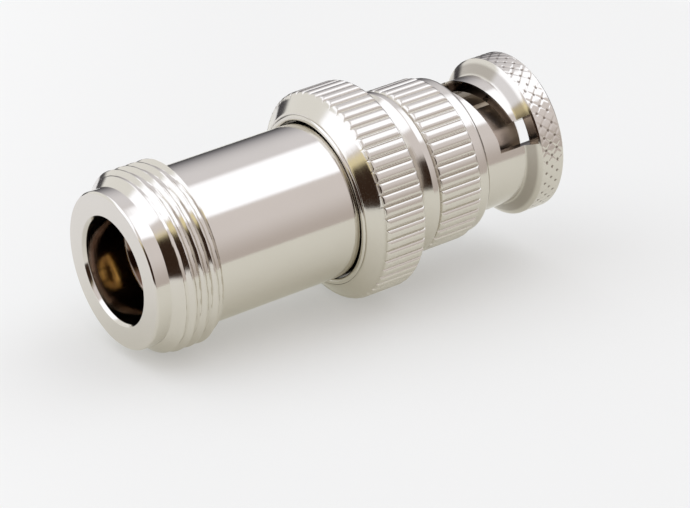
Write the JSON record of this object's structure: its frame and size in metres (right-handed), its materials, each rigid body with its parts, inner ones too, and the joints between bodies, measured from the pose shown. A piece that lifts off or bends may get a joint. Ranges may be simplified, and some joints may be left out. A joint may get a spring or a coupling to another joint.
{
  "type": "threaded jack to bayonet plug coaxial adapter",
  "caption": "Straight coaxial adapter with a threaded jack at one end and a bayonet plug with a knurled, sprung coupling nut at the other.",
  "frame": {"origin": "centre of the jack's flat face, which the adapter stands on", "axes": "+Z along the axis, from the threaded jack to the bayonet plug; -Y faces the picture's camera"},
  "size_m": [0.0184, 0.0184, 0.0416],
  "materials": {
    "nickel_plate": "polished",
    "gold_plate": "polished",
    "insulator": "satin",
    "seal": "satin",
    "spring_steel": "satin"
  },
  "bodies": {
    "adapter_body": {"jack_body": "nickel_plate", "jack_insulator": "insulator", "socket_contact": "gold_plate", "pin_contact": "gold_plate", "plug_insulator": "insulator", "plug_body": "nickel_plate", "seal_ring": "seal", "wave_washer_rear": "spring_steel", "wave_washer_front": "spring_steel"},
    "thrust": {"thrust_washer": "spring_steel"},
    "coupling": {"back_ring": "nickel_plate", "coupling_nut": "nickel_plate"}
  },
  "joints": [
    {"name": "coupling_slide", "type": "slide", "parent": "adapter_body", "child": "thrust", "axis": [0, 0, 1], "range_m": [0, 0.0007], "stiffness_N_per_m": 2000, "springref_m": -0.0005, "deforming": ["wave_washer_rear", "wave_washer_front"]},
    {"name": "coupling_turn", "type": "hinge", "parent": "thrust", "child": "coupling", "pos_m": [0, 0, 0.0215], "axis": [0, 0, 1], "continuous": true}
  ]
}
